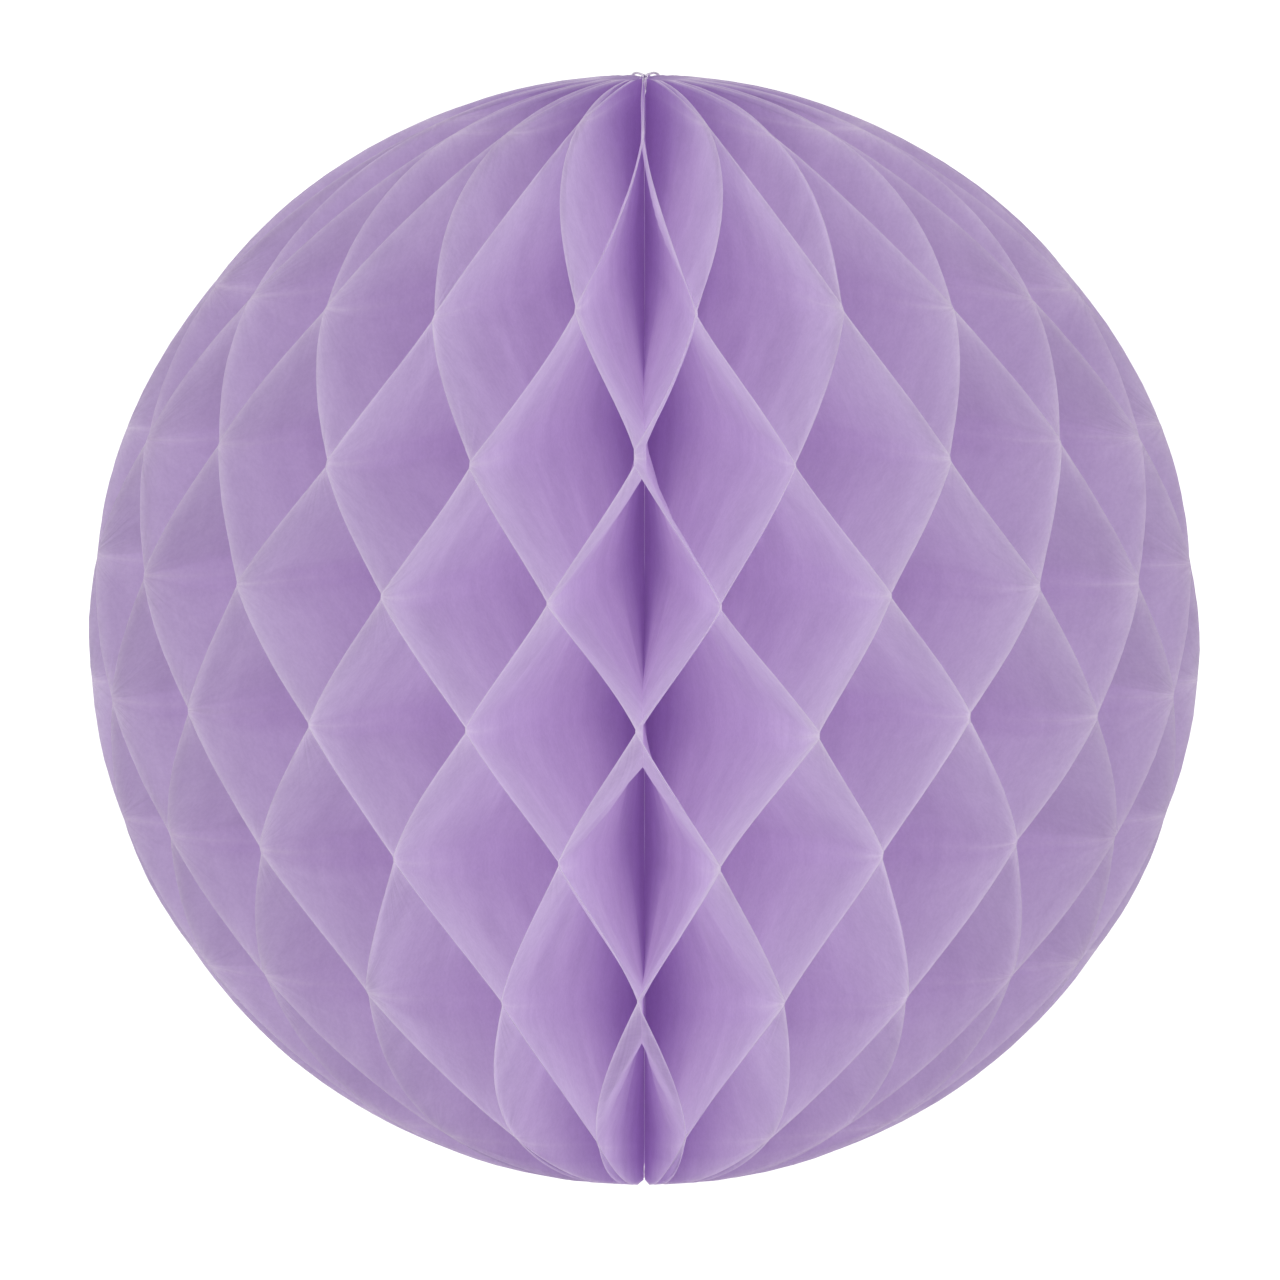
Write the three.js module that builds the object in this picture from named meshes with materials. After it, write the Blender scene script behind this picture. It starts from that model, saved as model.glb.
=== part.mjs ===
// A paper honeycomb ball: forty half-disc leaves of tissue paper, glued to each other in stripes and fanned
// all the way round a spine thread, between two card covers that meet and stick together at the back.
//
// Millimetres, +Z up. The origin is the centre of the ball and +Z runs along the spine thread.
// The seam, where the covers meet, lies on the half plane X = 0, Y > 0. Azimuth grows counter-clockwise
// from the seam, seen from above, and leaf n fills the sector between planes n - 1 and n.

import * as THREE from 'three';

// Driving dimensions
const ballRadius = 152.4;
const leafCount = 40;
const glueRowCount = 8;
const glueRowPitch = 34.7;      // height between glue rows at the rim, at the equator
const glueRowSpread = 0.0098;   // how much the pitch grows towards the poles, where the leaves open less
const glueRowRise = 3.8;        // the pattern of rows sits this much above the equator
const glueRowTilt = 0.18;       // glue lines rise towards the spine, in proportion to their height
const glueStripeHeight = 4;
const tissueThickness = 0.3;
const tissueGap = 0.3;          // air between neighbouring leaves at a glue stripe
const spineClearance = 6;       // radius of the open core that the spine thread runs in
const endLeafClearance = 11;    // the same for the two leaves that lie against a cover
const poleFlatRadius = 14;      // the leaves are cut level at the poles, out to this radius

const coverThickness = 0.35;
const coverSpineEdge = 9;       // distance from the spine axis to a cover's straight edge
const seamGap = 0.2;            // space between the two covers, filled by the glue dots
const coverArcSegments = 48;

const glueDotCount = 6;
const glueDotRadius = 6;
const glueDotThickness = 0.12;
const glueDotCircle = 0.88 * ballRadius;
const glueDotSpan = THREE.MathUtils.degToRad(132);

const threadRadius = 0.5;
const knotRadius = 2.4;
const knotHeight = 4;
const knotFlatRadius = 1.9;
const knotStandsProud = 1.5;    // how far the outer face of a knot stands beyond the ball
const loopLength = 30;
const loopHalfWidth = 5;
const loopLift = 0.8;           // height of the loop's centre line above the ball's surface

const leafAngle = 2 * Math.PI / leafCount;
const seamAzimuth = Math.PI / 2;
const poleHeight = Math.sqrt(ballRadius ** 2 - poleFlatRadius ** 2);

function paperMaterial(color, roughness) {
  return new THREE.MeshStandardMaterial({ color, roughness, metalness: 0, side: THREE.DoubleSide });
}

// Height at the rim of a glue row. Row 0 is the lowest.
function glueRowHeight(row) {
  const step = row - (glueRowCount - 1) / 2;
  return glueRowRise + step * glueRowPitch * (1 + glueRowSpread * step * step);
}

// A leaf changes sides between one glue row and the next: share 0 lies on the leaf's first plane and share 1
// on its second. The stations run up the rim from pole to pole, each with its height and its share.
function leafStations(leafNumber) {
  const stations = [{ height: -poleHeight, share: 0.5 }];
  for (let row = 0; row < glueRowCount; row++) {
    const height = glueRowHeight(row);
    const share = (row + leafNumber) % 2;
    const below = stations[stations.length - 1];
    stations.push({ height: (height - glueStripeHeight / 2 + below.height) / 2, share: (share + below.share) / 2 });
    stations.push({ height: height - glueStripeHeight / 2, share });
    stations.push({ height: height + glueStripeHeight / 2, share });
  }
  const last = stations[stations.length - 1];
  stations.push({ height: (poleHeight + last.height) / 2, share: (0.5 + last.share) / 2 });
  stations.push({ height: poleHeight, share: 0.5 });
  return stations;
}

// A closed sheet from a grid of points: point(side, row, column), with side 0 and 1 its two faces.
function closedSheet(rowCount, columnCount, point) {
  const positions = [];
  for (let side = 0; side < 2; side++) {
    for (let row = 0; row < rowCount; row++) {
      for (let column = 0; column < columnCount; column++) {
        positions.push(...point(side, row, column));
      }
    }
  }
  const index = [];
  const vertex = (side, row, column) => (side * rowCount + row) * columnCount + column;
  const quad = (a, b, c, d) => index.push(a, b, c, a, c, d);
  for (let row = 0; row + 1 < rowCount; row++) {
    for (let column = 0; column + 1 < columnCount; column++) {
      quad(vertex(0, row, column), vertex(0, row, column + 1),
        vertex(0, row + 1, column + 1), vertex(0, row + 1, column));
      quad(vertex(1, row, column), vertex(1, row + 1, column),
        vertex(1, row + 1, column + 1), vertex(1, row, column + 1));
    }
    const outer = columnCount - 1;
    quad(vertex(0, row, 0), vertex(0, row + 1, 0), vertex(1, row + 1, 0), vertex(1, row, 0));
    quad(vertex(0, row, outer), vertex(1, row, outer), vertex(1, row + 1, outer), vertex(0, row + 1, outer));
  }
  const top = rowCount - 1;
  for (let column = 0; column + 1 < columnCount; column++) {
    quad(vertex(0, 0, column), vertex(1, 0, column), vertex(1, 0, column + 1), vertex(0, 0, column + 1));
    quad(vertex(0, top, column), vertex(0, top, column + 1), vertex(1, top, column + 1), vertex(1, top, column));
  }
  const geometry = new THREE.BufferGeometry();
  geometry.setAttribute('position', new THREE.Float32BufferAttribute(positions, 3));
  geometry.setIndex(index);
  geometry.computeVertexNormals();
  return geometry;
}

function tissueLeaf(leafNumber) {
  const stations = leafStations(leafNumber);
  const startPlane = seamAzimuth + (leafNumber - 1) * leafAngle;
  const betweenLeaves = (tissueGap + tissueThickness) / 2;
  const besideCover = seamGap / 2 + coverThickness + betweenLeaves;
  const startOffset = leafNumber === 1 ? besideCover : betweenLeaves;
  const endOffset = leafNumber === leafCount ? besideCover : betweenLeaves;
  const besideACover = leafNumber === 1 || leafNumber === leafCount;
  const innerRadius = besideACover ? endLeafClearance : spineClearance;

  const geometry = closedSheet(stations.length, 2, (side, row, column) => {
    const { height, share } = stations[row];
    const rimRadius = Math.sqrt(ballRadius ** 2 - height ** 2);
    const radius = column === 0 ? innerRadius : rimRadius;
    const spineHeight = height * (1 + glueRowTilt * (rimRadius - poleFlatRadius) / ballRadius);
    const z = column === 0 ? spineHeight : height;
    const first = Math.asin(startOffset / radius);
    const last = leafAngle - Math.asin(endOffset / radius);
    const azimuth = startPlane + first + (last - first) * share;
    const half = (side === 0 ? -1 : 1) * tissueThickness / 2;
    return [
      radius * Math.cos(azimuth) - half * Math.sin(azimuth),
      radius * Math.sin(azimuth) + half * Math.cos(azimuth),
      z,
    ];
  });
  const mesh = new THREE.Mesh(geometry, paperMaterial(0xb7a0ce, 0.9));
  mesh.name = `tissue_leaf_${String(leafNumber).padStart(2, '0')}`;
  return mesh;
}

// Lays an extrusion drawn in X and Y on the plane of the seam: its X runs outwards from the spine, its Y runs
// up, and its depth runs along +X from innerFace.
function onSeam(geometry, innerFace) {
  const outwards = new THREE.Vector3(0, 1, 0);
  const up = new THREE.Vector3(0, 0, 1);
  const across = new THREE.Vector3(1, 0, 0);
  geometry.applyMatrix4(new THREE.Matrix4().makeBasis(outwards, up, across));
  geometry.translate(innerFace, 0, 0);
  return geometry;
}

function cardCover(name, innerFace) {
  const halfAngle = Math.acos(coverSpineEdge / ballRadius);
  const outline = new THREE.Shape();
  outline.absarc(0, 0, ballRadius, -halfAngle, halfAngle, false);
  outline.closePath();
  const geometry = new THREE.ExtrudeGeometry(outline, {
    depth: coverThickness, bevelEnabled: false, curveSegments: coverArcSegments,
  });
  const mesh = new THREE.Mesh(onSeam(geometry, innerFace), paperMaterial(0xb095c8, 0.7));
  mesh.name = name;
  return mesh;
}

function glueDot(number) {
  const angle = glueDotSpan * ((number - 1) / (glueDotCount - 1) - 0.5);
  const outline = new THREE.Shape();
  outline.absarc(glueDotCircle * Math.cos(angle), glueDotCircle * Math.sin(angle), glueDotRadius, 0, 2 * Math.PI);
  const geometry = new THREE.ExtrudeGeometry(outline, {
    depth: glueDotThickness, bevelEnabled: false, curveSegments: 6,
  });
  const mesh = new THREE.Mesh(onSeam(geometry, -glueDotThickness / 2), paperMaterial(0xf0ece4, 0.5));
  mesh.name = `glue_dot_${number}`;
  return mesh;
}

function threadMesh(name, geometry) {
  const mesh = new THREE.Mesh(geometry, paperMaterial(0xe9e2ee, 0.8));
  mesh.name = name;
  return mesh;
}

function spineThread() {
  const reach = ballRadius + knotStandsProud - knotHeight;
  const clearance = 0.1;
  const geometry = new THREE.CylinderGeometry(threadRadius, threadRadius, 2 * (reach - clearance), 8);
  const mesh = threadMesh('spine_thread', geometry);
  mesh.rotation.x = Math.PI / 2;
  return mesh;
}

// A knot is a rounded lump with a flat outer face. It stands on its inner end at Z = 0.
function knot(name, direction) {
  const profile = [
    new THREE.Vector2(0, 0),
    new THREE.Vector2(knotFlatRadius, 0),
    new THREE.Vector2(knotRadius, 0.3 * knotHeight),
    new THREE.Vector2(knotRadius, 0.75 * knotHeight),
    new THREE.Vector2(knotFlatRadius, knotHeight),
    new THREE.Vector2(0, knotHeight),
  ];
  const mesh = threadMesh(name, new THREE.LatheGeometry(profile, 12));
  mesh.rotation.x = direction * Math.PI / 2;
  mesh.position.z = direction * (ballRadius + knotStandsProud - knotHeight);
  return mesh;
}

// The hanging loop lies on top of the ball beside the knot, over the seam: a teardrop of thread that starts
// and ends at the knot.
function hangingLoop() {
  const lyingRadius = ballRadius + loopLift;
  const knotClearance = 0.4;
  const start = knotRadius + threadRadius + knotClearance;
  const points = [];
  const steps = 12;
  for (let step = 0; step <= steps; step++) {
    const turn = 2 * Math.PI * step / steps;
    const outwards = start + (loopLength - start) * (1 - Math.cos(turn)) / 2;
    const across = loopHalfWidth * Math.sin(turn) * Math.sin(turn / 2) ** 2 + threadRadius * 1.6 * Math.cos(turn / 2);
    const height = Math.sqrt(lyingRadius ** 2 - outwards ** 2 - across ** 2);
    points.push(new THREE.Vector3(across, outwards, height));
  }
  const outline = new THREE.Shape();
  outline.absarc(0, 0, threadRadius, 0, 2 * Math.PI);
  const geometry = new THREE.ExtrudeGeometry(outline, {
    steps: 36, curveSegments: 3, bevelEnabled: false, extrudePath: new THREE.CatmullRomCurve3(points),
  });
  return threadMesh('hanging_loop', geometry);
}

const ball = new THREE.Group();
for (let leafNumber = 1; leafNumber <= leafCount; leafNumber++) {
  ball.add(tissueLeaf(leafNumber));
}
ball.add(cardCover('first_cover', -seamGap / 2 - coverThickness));
ball.add(cardCover('last_cover', seamGap / 2));
for (let number = 1; number <= glueDotCount; number++) {
  ball.add(glueDot(number));
}
ball.add(spineThread());
ball.add(knot('top_knot', 1));
ball.add(knot('bottom_knot', -1));
ball.add(hangingLoop());

export default ball;
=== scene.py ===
"""A paper honeycomb ball: forty tissue leaves, fanned all the way round a spine thread between two covers.

Lengths are in metres unless a name ends in _MM, and named angles are in degrees. The frame's axes are used as
they are: +Z up, -Y the front. The seam of the covers lies on the +Y side. Seen from above, plane k stands
k * 9 degrees counter-clockwise from it, and leaf n fills the sector between planes n - 1 and n.
"""

import math
from collections import namedtuple

import bpy
import numpy as np
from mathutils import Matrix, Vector


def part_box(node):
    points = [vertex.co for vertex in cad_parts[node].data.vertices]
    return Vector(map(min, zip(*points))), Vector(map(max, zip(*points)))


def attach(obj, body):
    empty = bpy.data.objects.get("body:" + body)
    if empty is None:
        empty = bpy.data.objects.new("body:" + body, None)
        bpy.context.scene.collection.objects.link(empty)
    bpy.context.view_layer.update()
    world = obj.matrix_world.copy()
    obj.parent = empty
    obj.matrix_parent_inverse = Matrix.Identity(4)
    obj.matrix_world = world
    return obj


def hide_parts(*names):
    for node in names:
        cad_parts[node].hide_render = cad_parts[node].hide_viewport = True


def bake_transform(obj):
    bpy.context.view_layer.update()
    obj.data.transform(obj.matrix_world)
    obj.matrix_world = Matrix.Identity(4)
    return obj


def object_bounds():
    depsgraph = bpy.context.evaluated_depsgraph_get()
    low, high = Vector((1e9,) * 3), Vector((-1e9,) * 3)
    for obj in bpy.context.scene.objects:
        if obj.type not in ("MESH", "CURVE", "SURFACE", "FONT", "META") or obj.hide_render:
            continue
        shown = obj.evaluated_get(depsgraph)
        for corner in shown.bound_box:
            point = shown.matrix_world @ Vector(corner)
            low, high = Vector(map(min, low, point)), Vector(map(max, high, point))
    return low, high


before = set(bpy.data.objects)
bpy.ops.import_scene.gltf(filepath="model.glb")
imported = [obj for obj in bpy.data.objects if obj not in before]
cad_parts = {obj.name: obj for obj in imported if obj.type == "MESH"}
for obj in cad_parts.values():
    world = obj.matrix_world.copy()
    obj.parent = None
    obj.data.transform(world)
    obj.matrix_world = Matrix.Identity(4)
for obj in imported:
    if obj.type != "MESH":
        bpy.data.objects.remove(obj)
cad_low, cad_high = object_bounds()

MM = 0.001
LEAVES = 40
ROWS = 8
GLUE_DOTS = 6
FRONT = LEAVES // 2
LEAF_ANGLE = 360.0 / LEAVES
SEAM = 90.0
SEED = 41
ROOT = "spine_and_first_cover"
LAST_BODY = f"leaf_{LEAVES:02d}"

# Sizes worked out from the frame
COVER_LOW, COVER_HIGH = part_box("first_cover")
LAST_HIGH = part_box("last_cover")[1]
BALL_RADIUS = COVER_HIGH.y
COVER_EDGE = COVER_LOW.y
POLE_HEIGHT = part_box(f"tissue_leaf_{FRONT:02d}")[1].z
POLE_FLAT = math.sqrt(BALL_RADIUS ** 2 - POLE_HEIGHT ** 2)
KNOT_SINK_MM = 1.5
KNOT_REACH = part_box("top_knot")[0].z - KNOT_SINK_MM * MM

# Glue rows. The pitch and the rise of the whole pattern are shares of the ball's radius. Rows stand further
# apart towards the poles, by the spread, and the tilt lifts them towards the spine, away from the middle
ROW_PITCH = 0.2277
ROW_RISE = 0.025
ROW_SPREAD = 0.0098
ROW_TILT = 0.18

# Tissue sheets and their glued stripes
SHEET_MM = 0.1
STRIPE_GAP_MM = 0.02
STRIPE_HALF_RIM_MM = 0.75
STRIPE_HALF_DEEP_MM = 3.6
STRIPE_WIDENS_OVER_MM = 26.0
EDGE_CURVE = 0.08

# The inner edges of the sheets along the spine, where they come together over the gather
CORE_MM = 0.9
CORE_BESIDE_COVER_MM = 8.0
CORE_BESIDE_KNOT_MM = 2.7
CORE_STEP_MM = 1.5
SPINE_GATHER_MM = 1.2

# How far a leaf opens at the poles, as a share, and how far stripes stay away from them
POLE_OPENING = 0.3
FRONT_POLE_OPENING = 0.25 * POLE_OPENING
POLE_MARGIN_MM = 0.4

# The irregularities of a ball opened by hand
RISE_SPREAD_MM = 0.9
RISE_LIMIT_MM = 2.0
TURN_SPREAD = 0.25
TURN_LIMIT = 0.6
SINK_LIMIT_MM = 2.0
SINK_OVER_MM = 14.0
DROOP_LIMIT_MM = 2.4
DROOP_OVER_MM = 9.0
FOLD_MM = (0.4, 1.1)
FOLD_REACH_MM = 2.4
BULGE_SPREAD_MM = 1.08
BULGE_LIMIT_MM = 2.16
BULGE_DEPTH_MM = 110.0
CURL_LIMIT_MM = 0.6
CURL_REACH_MM = 2.0
TRIM_MM = 0.08

# Soft pleats across a cell: the period and the size of each wave, in millimetres, and where they set in
PLEATS = ((31.0, 0.9), (14.0, 0.45), (8.5, 0.25))
PLEATS_OVER_MM = 40.0

# Colours, linear
TISSUE = (0.64, 0.526, 0.777)
TISSUE_THROUGH = (0.703, 0.582, 0.838)
TISSUE_CLEAR = (0.985, 0.96, 0.99)
# Painted highlight for the tissue's rims, creases and glued points; also the card's pale flecks
TISSUE_HIGHLIGHT_AND_FLECK = (0.85, 0.79, 0.91)
# Painted shade deep in the cells, near the spine
TISSUE_CORE_SHADE = (0.32, 0.16, 0.53)
CARD = (0.50, 0.37, 0.66)
THREAD = (0.74, 0.69, 0.79)
ADHESIVE = (0.86, 0.84, 0.78)
WHITE = (1.0, 1.0, 1.0)

# How much light the tissue lets through scattered, and straight
SCATTER_SHARE = 0.6
CLEAR_SHARE = 0.85

# Floor: its glow for the camera, its half width, and how far it lies below the ball
FLOOR_GLOW = 0.8
FLOOR_SIZE = 60.0
FLOOR_DROP = 0.35

# Light: each lamp has a name, a place, a width and a power in watts
BOUNCES = 8
CLEAR_BOUNCES = 32
WORLD_STRENGTH = 0.46
LAMPS = (("left", (-2.0, -2.0, 0.7), 1.2, 42.0), ("right", (2.0, -2.0, 0.7), 1.2, 34.0))

# Camera: its distance and its aim are in ball radii, and the ball's width is a share of the frame's
CAMERA_DISTANCE = 30.0
CAMERA_AZIMUTH = 0.83
CAMERA_ELEVATION = 5.4
CAMERA_AIM = (-0.008, 0.0, -0.0184)
BALL_SHARE = 0.8681


def smoothstep(x):
    x = np.clip(x, 0.0, 1.0)
    return x * x * (3.0 - 2.0 * x)


def scaled(colour, factor):
    return tuple(factor * channel for channel in colour)


def row_height(row):
    """Height of a glue row at the rim. Row 0 is the lowest."""
    step = row - (ROWS - 1) / 2
    return BALL_RADIUS * (ROW_RISE + step * ROW_PITCH * (1 + ROW_SPREAD * step * step))


def rim_radius(height):
    return np.sqrt(np.maximum(BALL_RADIUS ** 2 - height ** 2, 0.0))


# ---------------------------------------------------------------- glue nodes


class Nodes:
    """Where and how each glue stripe sits, by plane and row, in millimetres and degrees, for both its leaves.

    rise: how far above the row's height. turn: how far round the spine. half, deep: half its height, at the
    rim and further in. sink: how much lower its lower edge runs inside. droop: how far all of it sags inside.
    fold: how far its rim is folded over sideways, down to a depth of about reach.
    """

    def __init__(self, rng):
        shape = (LEAVES + 1, ROWS)
        self.rise = rng.normal(0.0, RISE_SPREAD_MM, shape).clip(-RISE_LIMIT_MM, RISE_LIMIT_MM)
        self.turn = rng.normal(0.0, TURN_SPREAD, shape).clip(-TURN_LIMIT, TURN_LIMIT)
        self.half = STRIPE_HALF_RIM_MM * rng.uniform(0.6, 1.6, shape)
        self.deep = STRIPE_HALF_DEEP_MM * rng.uniform(0.8, 1.2, shape)
        self.sink = rng.uniform(0.0, SINK_LIMIT_MM, shape)
        self.droop = rng.uniform(0.0, DROOP_LIMIT_MM, shape)
        self.fold = rng.choice((-1.0, 1.0), shape) * rng.uniform(*FOLD_MM, shape)
        self.reach = np.full(shape, FOLD_REACH_MM)
        self.pinch_front_column()
        for plane in (0, LEAVES):
            self.turn[plane] = 0.0
            self.fold[plane] = 0.0
            self.rise[plane] = self.rise[0]

    def pinch_front_column(self):
        """The column of cells that faces front: one tall stripe with its rim folded over, two pinched ones
        below it that sink inside, and a narrower cell above it."""
        top, tall, middle, low = 7, 5, 3, 1
        beside = (FRONT - 1, FRONT + 1)
        self.rise[FRONT] = 0.0
        self.turn[FRONT] = 0.0
        self.rise[FRONT, (tall, middle)] = 2.2, 0.8
        self.rise[(FRONT - 2, FRONT + 2), top] = 3.2, 2.4
        self.half[FRONT, (tall, middle, low)] = 2.2, 0.5, 0.5
        self.sink[FRONT, (top, middle, low)] = 3.0, 9.0, 8.0
        self.turn[FRONT, (tall, middle, low)] = 1.1, 0.7, 0.5
        self.turn[beside, tall + 1] = 1.1, -1.1
        self.turn[beside, low + 1] = 0.5, -0.5
        self.fold[FRONT, (tall, middle, low)] = -3.4, -2.0, -1.2
        self.reach[FRONT, (tall, middle, low)] = 6.0, 4.0, 4.0


def stripe_share(leaf, row):
    """0 where the leaf is glued at this row to the leaf before it, 1 where to the leaf after it."""
    return (row + leaf) % 2


# ---------------------------------------------------------------- tissue leaves

STRIPE_STEPS = 4
WALL_STEPS = 12
POLE_STEPS = 9

# Points of a line from rim to spine: a near band, with its points crowded towards the rim, and the rest
NEAR_COLUMNS = 7
NEAR_CROWDING = 1.4
NEAR_MM = 6.0
NEAR_LIMIT = 0.4
DEEP_COLUMNS = 24

# A stripe on one leaf. By column: its edges, its share of the way to the leaf's second plane, and its turn
Stripe = namedtuple("Stripe", "lower upper share turn fold reach")


def leaf_lines():
    """The lines that run from rim to spine, from the lower pole to the upper one, as (low, high, f): the rows
    below and above, or -1 and ROWS for the poles, and the share of the way between them. Where low is high,
    the line lies in that row's stripe."""
    lines = [(-1, 0, k / POLE_STEPS) for k in range(POLE_STEPS)]
    for row in range(ROWS):
        lines += [(row, row, k / STRIPE_STEPS) for k in range(STRIPE_STEPS)]
        steps = POLE_STEPS if row == ROWS - 1 else WALL_STEPS
        lines += [(row, row + 1, k / steps) for k in range(steps)]
    lines.append((ROWS - 1, ROWS, 1.0))
    return lines


def depth_columns():
    """Shares of the near band and of the rest of the depth, from the rim inwards."""
    near = [((k / NEAR_COLUMNS) ** NEAR_CROWDING, 0.0) for k in range(NEAR_COLUMNS)]
    deep = [(1.0, k / DEEP_COLUMNS) for k in range(DEEP_COLUMNS + 1)]
    return np.array(near + deep)


class Leaf:
    """The middle surface of one tissue leaf."""

    def __init__(self, number, nodes, rng):
        self.number = number
        self.nodes = nodes
        self.columns = depth_columns()
        self.core = (CORE_BESIDE_COVER_MM if number in (1, LEAVES) else CORE_MM) * MM
        self.start_plane = SEAM + (number - 1) * LEAF_ANGLE
        glued = (STRIPE_GAP_MM + SHEET_MM) / 2 * MM
        self.start_offset = glued - COVER_LOW.x if number == 1 else glued
        self.end_offset = LAST_HIGH.x + glued if number == LEAVES else glued
        self.openings = rng.uniform(0.6, 1.3, 2) * (POLE_OPENING, self.top_opening())
        self.bulge = rng.normal(0.0, BULGE_SPREAD_MM, ROWS + 1).clip(-BULGE_LIMIT_MM, BULGE_LIMIT_MM)
        self.curl = rng.uniform(-CURL_LIMIT_MM, CURL_LIMIT_MM, ROWS + 1)
        self.phases = rng.uniform(0.0, 2 * math.pi, (len(PLEATS), ROWS + 1))
        self.trims = rng.uniform(0.0, 2 * math.pi, 2)

    def top_opening(self):
        """The two leaves beside the front plane stay almost shut at the top."""
        return FRONT_POLE_OPENING if self.number in (FRONT, FRONT + 1) else POLE_OPENING

    def depths(self, radius, core):
        """Depth below the rim of each column of a line that runs between these two radii."""
        near = min(NEAR_MM * MM, NEAR_LIMIT * (radius - core))
        return self.columns[:, 0] * near + self.columns[:, 1] * (radius - core - near)

    def core_at(self, height):
        """Radius of the inner edge, which makes room for the knots near the poles."""
        beside_knot = smoothstep((abs(height) - KNOT_REACH) / (CORE_STEP_MM * MM) + 1)
        return max(self.core, CORE_MM * MM + (CORE_BESIDE_KNOT_MM - CORE_MM) * MM * float(beside_knot))

    def pole(self, upper):
        """A pole as a stripe of no height. The leaf stays close to the one it is glued to at the last row."""
        share = stripe_share(self.number, ROWS - 1 if upper else 0)
        opening = self.openings[1 if upper else 0]
        edge = np.full(len(self.columns), POLE_HEIGHT if upper else -POLE_HEIGHT)
        shares = np.full(len(edge), share + (0.5 - share) * 2 * opening)
        return Stripe(edge, edge, shares, np.zeros(len(edge)), 0.0, FOLD_REACH_MM)

    def stripe(self, row):
        if row in (-1, ROWS):
            return self.pole(row == ROWS)
        nodes = self.nodes
        share = stripe_share(self.number, row)
        at = (self.number - 1 + share, row)
        rim = row_height(row) + nodes.rise[at] * MM
        radius = float(rim_radius(rim))
        spine = rim * (1 + ROW_TILT * (radius - POLE_FLAT) / BALL_RADIUS)
        depth = self.depths(radius, self.core)
        through = depth / (radius - self.core)
        droop = nodes.droop[at] * MM * (1 - np.exp(-depth / (DROOP_OVER_MM * MM))) * (1 - through)
        centre = rim + (spine - rim) * through - droop
        widen = smoothstep(depth / (STRIPE_WIDENS_OVER_MM * MM))
        half = (nodes.half[at] + (nodes.deep[at] - nodes.half[at]) * widen) * MM
        sink = nodes.sink[at] * MM * smoothstep(depth / (SINK_OVER_MM * MM)) * (1 - through)
        turn = nodes.turn[at] * (1 - through)
        limit = POLE_HEIGHT - POLE_MARGIN_MM * MM
        lower = np.maximum(centre - half - sink, -limit)
        upper = np.minimum(centre + half, limit)
        return Stripe(lower, upper, np.full(len(depth), float(share)), turn, nodes.fold[at], nodes.reach[at])

    def course(self, low, high, f):
        """(stripe, height, wall, away) of a line: the mix of the stripes below and above it, its height, how
        free it stands from them, and its distance from the middle of the nearer one."""
        below = self.stripe(low)
        width = below.upper - below.lower
        if low == high:
            return below, below.lower + width * f, 0.0, width * abs(f - 0.5)
        above = self.stripe(high)
        gap = above.lower - below.upper
        ease = EDGE_CURVE * smoothstep(np.array(f)) + (1 - EDGE_CURVE) * f
        mixed = below._replace(
            share=below.share + (above.share - below.share) * ease,
            turn=below.turn + (above.turn - below.turn) * f,
            fold=below.fold * (1 - f) ** 3 + above.fold * f,
            reach=below.reach + (above.reach - below.reach) * f,
        )
        wall = math.sin(math.pi * f) * (1.0 if 0 <= low and high < ROWS else 0.5)
        return mixed, below.upper + gap * f, wall, width / 2 * (1 - f) + gap * min(f, 1 - f)

    def waves(self, cell, f, radius, depth):
        """How far a free wall stands off sideways, in millimetres: a bulge, a curl at the rim, and pleats
        that wander across the cell. All of it dies down near the spine."""
        side = self.bulge[cell] * np.sin(np.pi * np.clip(depth / (BULGE_DEPTH_MM * MM), 0, 1))
        side = side + self.curl[cell] * np.exp(-(depth / (CURL_REACH_MM * MM)) ** 2)
        for pleat, (period, size) in enumerate(PLEATS):
            drift = 0.9 * math.sin(2.2 * f + self.phases[pleat, cell])
            phase = 2 * math.pi * radius / MM / period + self.phases[pleat, cell] + drift
            side = side + size * np.sin(phase) * smoothstep(depth / (PLEATS_OVER_MM * MM))
        return side * np.minimum(1.0, 1.25 * radius / BALL_RADIUS + 0.05)

    def line(self, k, low, high, f):
        """(radius, azimuth, height, depth, distance from the middle of the nearer stripe), by column."""
        stripe, height, wall, away = self.course(low, high, f)
        rim = float(rim_radius(height[0]))
        rim += TRIM_MM * MM * math.sin(k * 1.9 + self.trims[0]) * math.sin(k * 0.7 + self.trims[1])
        depth = self.depths(rim, self.core_at(height[-1]))
        radius = rim - depth
        side = self.waves(max(low, 0), f, radius, depth) * wall
        side = side + stripe.fold * np.exp(-(depth / (stripe.reach * MM)) ** 2)
        gather = np.exp((radius[-1] - radius) / (SPINE_GATHER_MM * MM))
        share = stripe.share + (0.5 - stripe.share) * gather
        first = np.degrees(np.arcsin(np.clip(self.start_offset / radius, 0, 1)))
        last = LEAF_ANGLE - np.degrees(np.arcsin(np.clip(self.end_offset / radius, 0, 1)))
        azimuth = self.start_plane + first + (last - first) * share + stripe.turn
        return radius, azimuth + np.degrees(side * MM / radius), height, depth, away

    def surface(self):
        return np.stack([self.line(k, *line) for k, line in enumerate(leaf_lines())], axis=1)

    def height_in_pocket(self, face):
        """From 0 at the bottom of the open cell beside a face to 1 at its top. Face 1 looks towards the next
        leaf, and face 0 towards the one before."""
        heights = []
        for low, high, f in leaf_lines():
            glued = stripe_share(self.number, low) == face
            if low == high:
                heights.append(1 - f if glued else 0.5)
            else:
                heights.append(f / 2 if glued else 0.5 + f / 2)
        return np.array(heights)[:, None] + np.zeros(len(self.columns))


def grid_quads(index):
    """The quads of a grid of vertex numbers."""
    return np.stack([index[:-1, :-1], index[:-1, 1:], index[1:, 1:], index[1:, :-1]], -1).reshape(-1, 4)


def quads_between(ring, other):
    """The quads of a strip between two rows of vertex numbers."""
    return np.stack([ring[:-1], ring[1:], other[1:], other[:-1]], -1)


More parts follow.
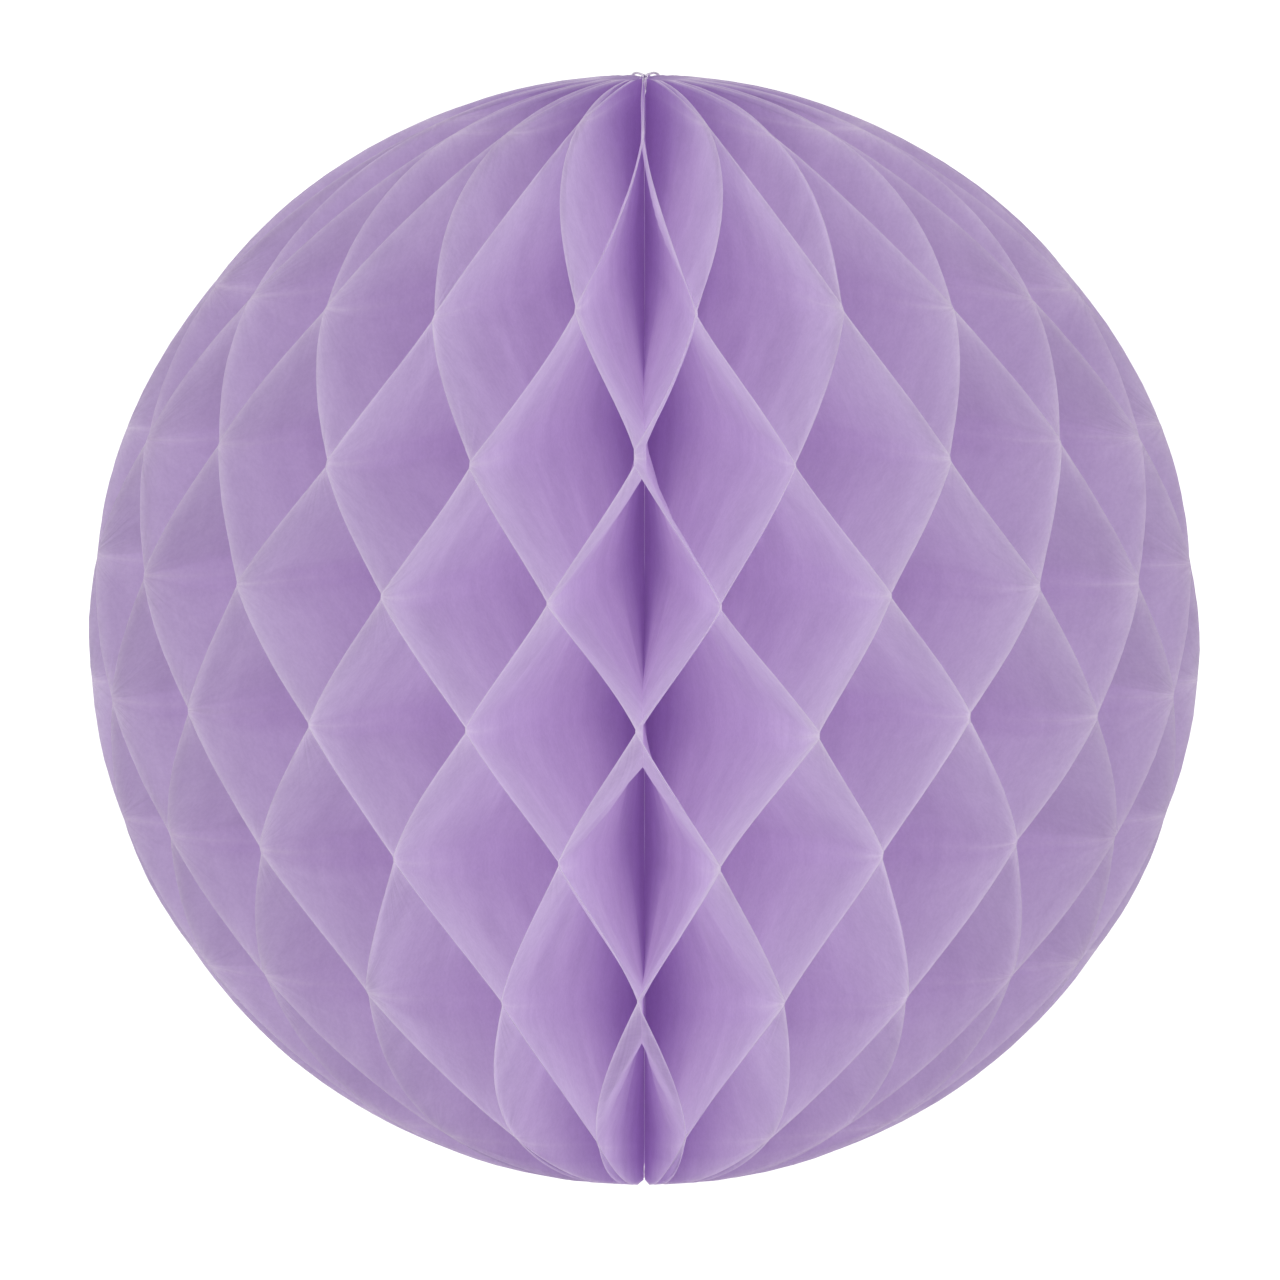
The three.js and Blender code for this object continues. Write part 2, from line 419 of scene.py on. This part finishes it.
def quads_to_centre(ring, centre):
    """Closes a ring of an even number of sides, two sides to a quad."""
    return np.array([(ring[k], ring[k + 1], ring[k + 2], centre) for k in range(0, len(ring) - 1, 2)])


def mesh_of(name, points, faces, smooth_angle=60):
    """A mesh from points and quads."""
    mesh = bpy.data.meshes.new(name)
    mesh.vertices.add(len(points))
    mesh.vertices.foreach_set("co", np.asarray(points, dtype=np.float32).ravel())
    mesh.loops.add(faces.size)
    mesh.loops.foreach_set("vertex_index", faces.astype(np.int32).ravel())
    mesh.polygons.add(len(faces))
    mesh.polygons.foreach_set("loop_start", np.arange(0, faces.size, 4, dtype=np.int32))
    mesh.update(calc_edges=True)
    mesh.validate()
    mesh.shade_smooth()
    mesh.set_sharp_from_angle(angle=math.radians(smooth_angle))
    return mesh


def closed_sheet(name, front, back):
    """A thin closed mesh from the grids of its two faces."""
    rows, columns = front.shape[:2]
    index = np.arange(rows * columns).reshape(rows, columns)
    other = index + rows * columns
    quads = [grid_quads(index), grid_quads(other.T)]
    quads.append(quads_between(index[:, 0], other[:, 0]))
    quads.append(quads_between(index[:, -1], other[:, -1])[:, ::-1])
    quads.append(quads_between(index[0], other[0])[:, ::-1])
    quads.append(quads_between(index[-1], other[-1]))
    points = np.concatenate([front.reshape(-1, 3), back.reshape(-1, 3)])
    return mesh_of(name, points, np.concatenate(quads))


def new_piece(name, mesh, material, node):
    """A piece that stands for a CAD node."""
    piece = bpy.data.objects.new(name, mesh)
    bpy.context.scene.collection.objects.link(piece)
    mesh.materials.append(material)
    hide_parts(node)
    return piece


def store(mesh, name, values):
    attribute = mesh.attributes.new(name, "FLOAT", "POINT")
    attribute.data.foreach_set("value", np.asarray(values, dtype=np.float32).ravel())


def follow_neighbours(piece, leaf, points):
    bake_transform(piece)
    turned = np.degrees(np.arctan2(points[:, 1], points[:, 0])) - leaf.start_plane
    turned = (turned + 180.0) % 360.0 - 180.0


def sheet_normals(middle, angle):
    """Normals of a leaf's middle surface, all on the side of growing azimuth."""
    normal = np.cross(np.gradient(middle, axis=0), np.gradient(middle, axis=1))
    normal /= np.linalg.norm(normal, axis=-1, keepdims=True).clip(1e-12)
    tangent = np.stack([-np.sin(angle), np.cos(angle), 0 * angle], -1)
    return normal * np.sign((normal * tangent).sum(-1, keepdims=True))


def tissue_leaf(number, nodes, rng, material):
    leaf = Leaf(number, nodes, rng)
    radius, azimuth, height, depth, away = leaf.surface()
    angle = np.radians(azimuth)
    middle = np.stack([radius * np.cos(angle), radius * np.sin(angle), height], -1)
    normal = sheet_normals(middle, angle)
    front = middle + normal * SHEET_MM / 2 * MM
    back = middle - normal * SHEET_MM / 2 * MM
    name = f"leaf_{number:02d}_tissue"
    mesh = closed_sheet(name, front, back)
    store(mesh, "depth_mm", np.stack([depth, depth]) / MM)
    store(mesh, "from_stripe_mm", np.stack([away, away]) / MM)
    # The height in its cell sets how far the painted shade near the spine reaches
    store(mesh, "height_in_pocket", np.stack([leaf.height_in_pocket(1), leaf.height_in_pocket(0)]))
    store(mesh, "leaf", np.full(2 * depth.size, number))
    piece = new_piece(name, mesh, material, f"tissue_leaf_{number:02d}")
    follow_neighbours(piece, leaf, np.concatenate([front.reshape(-1, 3), back.reshape(-1, 3)]))


# ---------------------------------------------------------------- covers and glue dots

CARD_ROUNDING_MM = 0.09
COVER_TURNS = 241
COVER_STEPS = 36
DOT_SIDES = 64
DOT_SHARE = 0.97


def edge_rounding(distance, half):
    """Half thickness near a cut edge, rounded off over a short distance."""
    rounding = CARD_ROUNDING_MM * MM
    return half - np.clip(1 - distance / rounding, 0, 1) ** 2 * rounding


def card_cover(name, node, body, material):
    """A half disc of card. Its grid runs along the round rim, and straight in from it to the spine edge."""
    low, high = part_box(node)
    widest = math.acos(COVER_EDGE / BALL_RADIUS)
    turns = np.linspace(-1, 1, COVER_TURNS)[:, None] * widest
    rounding = np.array([0.0, 0.02, 0.05, CARD_ROUNDING_MM]) * MM
    reach = BALL_RADIUS - COVER_EDGE / np.cos(turns)
    spread = np.linspace(0, 1, COVER_STEPS)[None, 1:-1]
    depth = np.concatenate([rounding[None] + 0 * turns, rounding[-1] + (reach - 2 * rounding[-1]) * spread,
                            reach - rounding[None, ::-1]], axis=1)
    depth = np.minimum(depth, reach)
    radius = BALL_RADIUS - depth
    edge = np.minimum(depth, np.maximum(reach - depth, 0))
    half = edge_rounding(edge, (high.x - low.x) / 2)
    middle = (low.x + high.x) / 2
    across = radius * np.cos(turns)
    up = radius * np.sin(turns)
    near = np.stack([middle + half, across, up], -1)
    far = np.stack([middle - half, across, up], -1)
    cover = new_piece(name, closed_sheet(name, far, near), material, node)
    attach(cover, body)


def round_grids(centre, thickness, radii):
    """The two faces of a thin disc on the plane of the seam, with a rim that follows radii, by angle."""
    turns = np.arange(len(radii))[:, None] * 2 * math.pi / len(radii)
    shares = np.array([1.0, 0.985, 0.95, 0.8, 0.5, 0.2, 0.04])[None]
    half = thickness / 2 * np.array([0.3, 0.8, 1.0, 1.0, 0.9, 0.9, 0.9])[None] + 0 * turns
    across = centre.y + radii[:, None] * shares * np.cos(turns)
    up = centre.z + radii[:, None] * shares * np.sin(turns)
    return np.stack([centre.x + half, across, up], -1), np.stack([centre.x - half, across, up], -1)


def closed_disc(name, near, far):
    """Closes a disc's two grids: round in the first direction, with a cap at the centre."""
    turns, rings = near.shape[:2]
    index = np.arange(turns * rings).reshape(turns, rings)
    loop = np.vstack([index, index[:1]])
    other = loop + turns * rings
    centre_near = 2 * turns * rings
    centre_far = centre_near + 1
    quads = [grid_quads(loop)[:, ::-1], grid_quads(other.T)[:, ::-1]]
    quads.append(quads_between(loop[:, 0], other[:, 0])[:, ::-1])
    quads.append(quads_to_centre(loop[:, -1], centre_near)[:, ::-1])
    quads.append(quads_to_centre(other[:, -1], centre_far))
    points = np.concatenate([near.reshape(-1, 3), far.reshape(-1, 3),
                             near[:, -1].mean(0)[None], far[:, -1].mean(0)[None]])
    return mesh_of(name, points, np.concatenate(quads))


def glue_dot(number, rng, material):
    """A dot pressed slightly out of round."""
    node = f"glue_dot_{number}"
    low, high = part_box(node)
    turns = np.arange(DOT_SIDES) * 2 * math.pi / DOT_SIDES
    spread = 1 + sum(rng.uniform(-0.02, 0.02) * np.cos(k * turns + rng.uniform(0, 6)) for k in range(2, 6))
    radii = DOT_SHARE * (high.z - low.z) / 2 * spread
    name = f"{node}_spread"
    near, far = round_grids((low + high) / 2, high.x - low.x, radii)
    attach(new_piece(name, closed_disc(name, near, far), material, node), ROOT)


# ---------------------------------------------------------------- thread

PLY_SIDES = 12
PLY_GROOVE = 0.20
TWIST_MM = 3.2
SMOOTH_ANGLE = 80
SPINE_STEPS = 900
KNOT_STEPS = 160
LOOP_STEPS = 220

# A knot's strand and the swing of its trefoil, as shares of its half sizes, and the loop on top of the ball
KNOT_STRAND = 0.26
KNOT_SWING = 0.55
LOOP_STRAND_MM = 0.36
LOOP_LIFT_MM = 0.15
LOOP_FULLNESS = 0.6
LOOP_START = 1.6


def sides_along(ahead):
    """A direction across the path at each of its points, carried along with as little turning as possible."""
    side = np.cross(ahead[0], (0.31, 0.92, 0.23))
    sides = []
    for direction in ahead:
        side = side - direction * side.dot(direction)
        side /= np.linalg.norm(side)
        sides.append(side)
    return np.array(sides)


def turn_left_over(sides, ahead):
    """The angle by which the last side of a closed path has to turn to meet the first."""
    end = sides[-1] - ahead[0] * sides[-1].dot(ahead[0])
    return math.atan2(np.cross(end, sides[0]).dot(ahead[0]), end.dot(sides[0]))


def thread_mesh(name, path, radius, closed=False):
    """A two-ply twisted thread along a path of points."""
    ahead = np.roll(path, -1, 0) - np.roll(path, 1, 0) if closed else np.gradient(path, axis=0)
    ahead /= np.linalg.norm(ahead, axis=1, keepdims=True)
    length = np.concatenate([[0], np.cumsum(np.linalg.norm(np.diff(path, axis=0), axis=1))])
    total = length[-1] + (np.linalg.norm(path[0] - path[-1]) if closed else 0)
    turns = total / (TWIST_MM * MM)
    sides = sides_along(ahead)
    others = np.cross(ahead, sides)
    untwist = 0.0
    if closed:
        turns = round(turns)
        untwist = turn_left_over(sides, ahead)
    around = np.arange(PLY_SIDES) * 2 * math.pi / PLY_SIDES
    share = length[:, None] / total
    lay = share * 2 * math.pi * turns
    section = radius * (1 - PLY_GROOVE + PLY_GROOVE * np.cos(2 * (around[None] - lay)))
    angle = around[None] + share * untwist
    points = (path[:, None] + sides[:, None] * (section * np.cos(angle))[..., None]
              + others[:, None] * (section * np.sin(angle))[..., None]).reshape(-1, 3)
    index = np.arange(len(points)).reshape(len(path), PLY_SIDES)
    index = np.hstack([index, index[:, :1]])
    if closed:
        return mesh_of(name, points, grid_quads(np.vstack([index, index[:1]])), SMOOTH_ANGLE)
    quads = [grid_quads(index)]
    quads.append(quads_to_centre(index[0], len(points))[:, ::-1])
    quads.append(quads_to_centre(index[-1], len(points) + 1))
    points = np.concatenate([points, path[:1], path[-1:]])
    return mesh_of(name, points, np.concatenate(quads), SMOOTH_ANGLE)


def thread_piece(name, node, path, radius, material, closed=False):
    mesh = thread_mesh(name, np.stack(path, -1), radius, closed)
    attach(new_piece(name, mesh, material, node), ROOT)


def spine_thread(material):
    low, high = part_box("spine_thread")
    heights = np.linspace(low.z, high.z, SPINE_STEPS)
    path = (0 * heights, 0 * heights, heights)
    thread_piece("spine_thread_twist", "spine_thread", path, (high.x - low.x) / 2, material)


def thread_knot(name, node, material):
    """An overhand knot pulled tight: a trefoil of thread, which reaches three times its size from its centre.
    It is seated between the tips of the leaves."""
    low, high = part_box(node)
    centre = (low + high) / 2
    outward = math.copysign(1, centre.z)
    strand = KNOT_STRAND * (high.x - low.x) / 2
    size = ((high.x - low.x) / 2 - strand) / 3
    depth = KNOT_SWING * ((high.z - low.z) / 2 - strand)
    turn = np.linspace(0, 2 * math.pi, KNOT_STEPS, endpoint=False)
    path = (
        centre.x + size * (np.sin(turn) + 2 * np.sin(2 * turn)),
        centre.y + size * (np.cos(turn) - 2 * np.cos(2 * turn)),
        centre.z - outward * KNOT_SINK_MM * MM - depth * np.sin(3 * turn),
    )
    thread_piece(name, node, path, strand, material, closed=True)


def hanging_loop(material):
    """A teardrop of thread that lies on top of the ball, over the seam, and starts and ends at the knot."""
    low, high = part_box("hanging_loop")
    strand = LOOP_STRAND_MM * MM
    start = low.y + strand
    reach = high.y - strand
    half_width = LOOP_FULLNESS * (high.x - low.x)
    turn = np.linspace(0, 2 * math.pi, LOOP_STEPS)
    outwards = start + (reach - start) * (1 - np.cos(turn)) / 2
    across = half_width * np.sin(turn) * np.sin(turn / 2) ** 2 + LOOP_START * strand * np.cos(turn / 2)
    across = np.clip(across, low.x + strand, high.x - strand)
    ground = np.minimum(POLE_HEIGHT, np.sqrt(BALL_RADIUS ** 2 - outwards ** 2 - across ** 2))
    path = (across, outwards, ground + strand + LOOP_LIFT_MM * MM)
    thread_piece("hanging_loop_twist", "hanging_loop", path, strand, material)


# ---------------------------------------------------------------- materials


class Graph:
    """Short calls for building a node material."""

    def __init__(self, name):
        self.material = bpy.data.materials.new(name)
        self.material.use_nodes = True
        self.tree = self.material.node_tree
        self.tree.nodes.clear()

    def add(self, kind, operation=None, **inputs):
        """A node. Each input is a value or another node's output, and goes by its label, with _ for a space,
        or by n and its number."""
        node = self.tree.nodes.new(kind)
        if operation:
            node.operation = operation
        for label, value in inputs.items():
            key = int(label[1:]) if label[0] == "n" and label[1:].isdigit() else label.replace("_", " ")
            self.plug(node.inputs[key], value)
        return node

    def plug(self, socket, value):
        if isinstance(value, bpy.types.NodeSocket):
            self.tree.links.new(value, socket)
        elif isinstance(value, tuple) and len(value) == 3 and socket.type == "RGBA":
            socket.default_value = (*value, 1)
        else:
            socket.default_value = value

    def math(self, operation, a, b=0.0, clamp=False):
        node = self.add("ShaderNodeMath", operation, n0=a, n1=b)
        node.use_clamp = clamp
        return node.outputs[0]

    def total(self, first, *others):
        for other in others:
            first = self.math("ADD", first, other)
        return first

    def product(self, first, *others):
        for other in others:
            first = self.math("MULTIPLY", first, other)
        return first

    def vector(self, x, y, z):
        return self.add("ShaderNodeCombineXYZ", X=x, Y=y, Z=z).outputs[0]

    def place(self):
        """The point's place on the object, in metres."""
        return self.add("ShaderNodeTexCoord").outputs["Object"]

    def mix(self, share, a, b, blend="MIX"):
        node = self.tree.nodes.new("ShaderNodeMix")
        node.data_type = "RGBA"
        node.blend_type = blend
        for socket, value in ((node.inputs[0], share), (node.inputs[6], a), (node.inputs[7], b)):
            self.plug(socket, value)
        return node.outputs[2]

    def stored(self, name):
        node = self.add("ShaderNodeAttribute")
        node.attribute_name = name
        return node.outputs["Fac"]

    def noise(self, vector, scale, detail=3.0, roughness=0.55):
        node = self.add("ShaderNodeTexNoise", Vector=vector, Scale=scale, Detail=detail, Roughness=roughness)
        return node.outputs["Fac"]

    def fade(self, value, length):
        """1 at value 0, falling off exponentially over a length."""
        return self.math("EXPONENT", self.math("MULTIPLY", value, -1.0 / length))

    def band(self, value, low, high, to_low=0.0, to_high=1.0):
        """Runs smoothly from to_low, below low, to to_high, above high."""
        node = self.add("ShaderNodeMapRange", n0=value, n1=low, n2=high, n3=to_low, n4=to_high)
        node.interpolation_type = "SMOOTHSTEP"
        return node.outputs[0]

    def bump(self, height, strength, distance):
        return self.add("ShaderNodeBump", Height=height, Strength=strength, Distance=distance).outputs[0]

    def shader(self, kind, **inputs):
        return self.add(f"ShaderNodeBsdf{kind}", **inputs).outputs[0]

    def mix_shaders(self, share, a, b):
        return self.add("ShaderNodeMixShader", n0=share, n1=a, n2=b).outputs[0]

    def finish(self, shader):
        self.add("ShaderNodeOutputMaterial", Surface=shader)
        return self.material


def tissue_material():
    """Dyed tissue: thin enough to glow through, with painted highlights along its cut edges and glued
    creases, and painted shade far inside the cells. The noises lie flat on each sheet, and own makes them
    differ by leaf."""
    g = Graph("lavender_tissue")
    x, y, z = g.add("ShaderNodeSeparateXYZ", n0=g.place()).outputs
    radius = g.math("SQRT", g.total(g.product(x, x), g.product(y, y)))
    depth = g.stored("depth_mm")
    away = g.stored("from_stripe_mm")
    pocket = g.stored("height_in_pocket")
    own = g.product(g.stored("leaf"), 0.37)
    sheet = g.vector(radius, own, z)
    drawn_out = g.vector(g.product(radius, 3.2), own, g.product(z, 0.45))

    # Puckers that run out from each glued point
    spoke = g.math("ARCTAN2", away, g.total(depth, 1.5))
    around = g.vector(g.product(spoke, 7.0), own, g.product(z, 24.0))
    puckers = g.math("SUBTRACT", g.noise(around, 1.0, 2.0), 0.5)
    puckers = g.product(puckers, g.fade(g.total(depth, g.product(away, 1.5)), 22.0))

    # Uneven dye, from broad clouds down to fibres, and the puckers' light and shade painted in
    clouds = g.noise(sheet, 38.0, 2.0)
    streaks = g.noise(drawn_out, 42.0, 2.0)
    mottle = g.noise(sheet, 260.0, 2.0)
    fibres = g.noise(sheet, 900.0, 3.0, 0.65)
    tone = g.total(
        g.band(clouds, 0.3, 0.7, 0.965, 1.03),
        g.band(streaks, 0.3, 0.7, -0.025, 0.02),
        g.band(fibres, 0.3, 0.7, -0.03, 0.03),
        g.band(mottle, 0.3, 0.7, -0.018, 0.018),
        # the puckers' painted light and shade
        g.product(puckers, 0.22),
    )
    shade = g.vector(tone, g.math("POWER", tone, 1.25), g.math("POWER", tone, 0.8))

    # Painted highlights: paler at the cut rim, on the creases beside a stripe, and in a halo round each glued
    # point
    cut = g.product(g.fade(depth, 1.6), 0.55)
    crease_highlight = g.product(g.fade(away, 0.8), g.fade(depth, 20.0), 0.4)
    glue_point_highlight = g.product(g.fade(away, 5.0), g.fade(depth, 9.0), 0.45)
    light = g.math("ADD", g.total(cut, crease_highlight), glue_point_highlight, clamp=True)

    # Painted shade: deeper near the spine, and the more so the higher in its cell
    core_shade_edge = g.total(g.product(pocket, pocket, 0.065), 0.050)
    core = g.band(radius, 0.002, core_shade_edge, 0.76, 0.0)

    # Mixes the painted shade and the painted highlights into a colour, then the uneven dye
    def dye_and_painted_light(plain):
        colour = g.mix(light, g.mix(core, plain, TISSUE_CORE_SHADE), TISSUE_HIGHLIGHT_AND_FLECK)
        return g.mix(1.0, colour, shade, "MULTIPLY")

    bump = g.bump(g.total(g.product(fibres, 0.25), mottle, g.product(puckers, 6.0)), 0.25, 0.0004)
    paper = g.shader("Principled", Base_Color=dye_and_painted_light(TISSUE), Roughness=0.85, Normal=bump,
                     Specular_IOR_Level=0.1, Sheen_Weight=0.04, Sheen_Roughness=0.6)
    glow = g.shader("Translucent", Color=dye_and_painted_light(TISSUE_THROUGH), Normal=bump)
    seen = g.mix_shaders(SCATTER_SHARE, paper, glow)

    # Light on its way between leaves meets a simpler sheet, which also lets some of it straight through
    plain = g.shader("Diffuse", Color=TISSUE)
    plain_glow = g.shader("Translucent", Color=TISSUE_THROUGH)
    scattered = g.mix_shaders(SCATTER_SHARE, plain, plain_glow)
    clear = g.shader("Transparent", Color=TISSUE_CLEAR)
    inside = g.add("ShaderNodeNewGeometry").outputs["Backfacing"]
    unseen = g.mix_shaders(g.math("MAXIMUM", inside, CLEAR_SHARE), scattered, clear)
    camera_ray = g.add("ShaderNodeLightPath").outputs["Is Camera Ray"]
    return g.finish(g.mix_shaders(camera_ray, unseen, seen))


def card_material():
    """Thin dyed card: matt, with a fine pressed grain and pale flecks."""
    g = Graph("lavender_card")
    place = g.place()
    flecks = g.noise(place, 700.0, 4.0, 0.7)
    clouds = g.noise(place, 30.0, 2.0)
    colour = g.mix(g.band(clouds, 0.3, 0.7), scaled(CARD, 0.94), scaled(CARD, 1.05))
    colour = g.mix(g.band(flecks, 0.55, 0.75, 0.0, 0.25), colour, TISSUE_HIGHLIGHT_AND_FLECK)
    bump = g.bump(g.total(g.product(flecks, 0.5), g.noise(place, 180.0, 2.0)), 0.3, 0.0003)
    rough = g.band(clouds, 0.2, 0.8, 0.62, 0.75)
    return g.finish(g.shader("Principled", Base_Color=colour, Roughness=rough, Normal=bump,
                             Specular_IOR_Level=0.35))


def thread_material():
    """Soft spun thread with fine fibres."""
    g = Graph("pale_thread")
    place = g.place()
    fibres = g.noise(place, 5200.0, 3.0, 0.7)
    clouds = g.noise(place, 400.0, 2.0)
    tone = g.total(g.band(fibres, 0.3, 0.7, 0.0, 0.5), g.band(clouds, 0.3, 0.7, 0.0, 0.5))
    colour = g.mix(tone, scaled(THREAD, 0.75), scaled(THREAD, 1.12))
    bump = g.bump(fibres, 0.6, 0.0001)
    return g.finish(g.shader("Principled", Base_Color=colour, Roughness=0.85, Normal=bump, Sheen_Weight=0.4,
                             Specular_IOR_Level=0.2))


def adhesive_material():
    """A pressed dot of pale, slightly yellow adhesive with fine bubbles."""
    g = Graph("adhesive_dot")
    bubbles = g.noise(g.place(), 1500.0, 2.0)
    colour = g.mix(g.band(bubbles, 0.45, 0.7), ADHESIVE, scaled(ADHESIVE, 0.85))
    return g.finish(g.shader("Principled", Base_Color=colour, Roughness=g.band(bubbles, 0.3, 0.7, 0.25, 0.5),
                             Normal=g.bump(bubbles, 0.4, 0.0001)))


def floor_material():
    """A pale matt floor that the camera sees overexposed, as it sees a lit studio table."""
    g = Graph("pale_floor")
    tone = g.band(g.noise(g.place(), 1.5, 2.0), 0.3, 0.7, 0.88, 0.92)
    camera_ray = g.add("ShaderNodeLightPath").outputs["Is Camera Ray"]
    return g.finish(g.shader("Principled", Base_Color=g.vector(tone, tone, tone), Roughness=0.9,
                             Emission_Color=WHITE, Emission_Strength=g.product(camera_ray, FLOOR_GLOW)))


# ---------------------------------------------------------------- stage


def build_floor():
    mesh = bpy.data.meshes.new("floor")
    corners = [(x * FLOOR_SIZE, y * FLOOR_SIZE, 0) for x, y in ((-1, -1), (1, -1), (1, 1), (-1, 1))]
    mesh.from_pydata(corners, [], [(0, 1, 2, 3)])
    floor = bpy.data.objects.new("floor", mesh)
    floor.location.z = cad_low.z - FLOOR_DROP
    bpy.context.scene.collection.objects.link(floor)
    mesh.materials.append(floor_material())


def build_light():
    world = bpy.data.worlds.new("studio")
    bpy.context.scene.world = world
    world.use_nodes = True
    background = world.node_tree.nodes["Background"]
    background.inputs["Color"].default_value = (*WHITE, 1)
    background.inputs["Strength"].default_value = WORLD_STRENGTH
    for name, place, size, power in LAMPS:
        lamp = bpy.data.lights.new(name, "AREA")
        lamp.shape = "DISK"
        lamp.size = size
        lamp.energy = power
        light = bpy.data.objects.new(name, lamp)
        light.location = place
        light.rotation_mode = "QUATERNION"
        light.rotation_quaternion = (-Vector(place)).to_track_quat("-Z", "Y")
        bpy.context.scene.collection.objects.link(light)


def build_camera():
    """A long lens from the front, a little above the ball's middle. The ball fills most of the frame."""
    distance = CAMERA_DISTANCE * BALL_RADIUS
    azimuth = math.radians(CAMERA_AZIMUTH)
    elevation = math.radians(CAMERA_ELEVATION)
    back = Vector((math.sin(azimuth) * math.cos(elevation), -math.cos(azimuth) * math.cos(elevation),
                   math.sin(elevation)))
    data = bpy.data.cameras.new("camera")
    data.sensor_width = 36.0
    data.lens = data.sensor_width / 2 * BALL_SHARE / math.tan(math.asin(BALL_RADIUS / distance))
    data.clip_end = 200.0
    camera = bpy.data.objects.new("camera", data)
    camera.location = Vector(CAMERA_AIM) * BALL_RADIUS + back * distance
    camera.rotation_mode = "QUATERNION"
    camera.rotation_quaternion = (-back).to_track_quat("-Z", "Y")
    bpy.context.scene.collection.objects.link(camera)
    bpy.context.scene.camera = camera


def set_up_scene():
    scene = bpy.context.scene
    scene.view_settings.view_transform = "Standard"
    scene.cycles.max_bounces = BOUNCES
    scene.cycles.diffuse_bounces = BOUNCES
    scene.cycles.transmission_bounces = BOUNCES
    scene.cycles.transparent_max_bounces = CLEAR_BOUNCES


def build_ball():
    rng = np.random.default_rng(SEED)
    nodes = Nodes(rng)
    tissue = tissue_material()
    for number in range(1, LEAVES + 1):
        tissue_leaf(number, nodes, rng, tissue)
    card = card_material()
    card_cover("first_cover_card", "first_cover", ROOT, card)
    card_cover("last_cover_card", "last_cover", LAST_BODY, card)
    adhesive = adhesive_material()
    for number in range(1, GLUE_DOTS + 1):
        glue_dot(number, rng, adhesive)
    thread = thread_material()
    spine_thread(thread)
    thread_knot("top_thread_knot", "top_knot", thread)
    thread_knot("bottom_thread_knot", "bottom_knot", thread)
    hanging_loop(thread)


set_up_scene()
build_ball()
build_floor()
build_light()
build_camera()
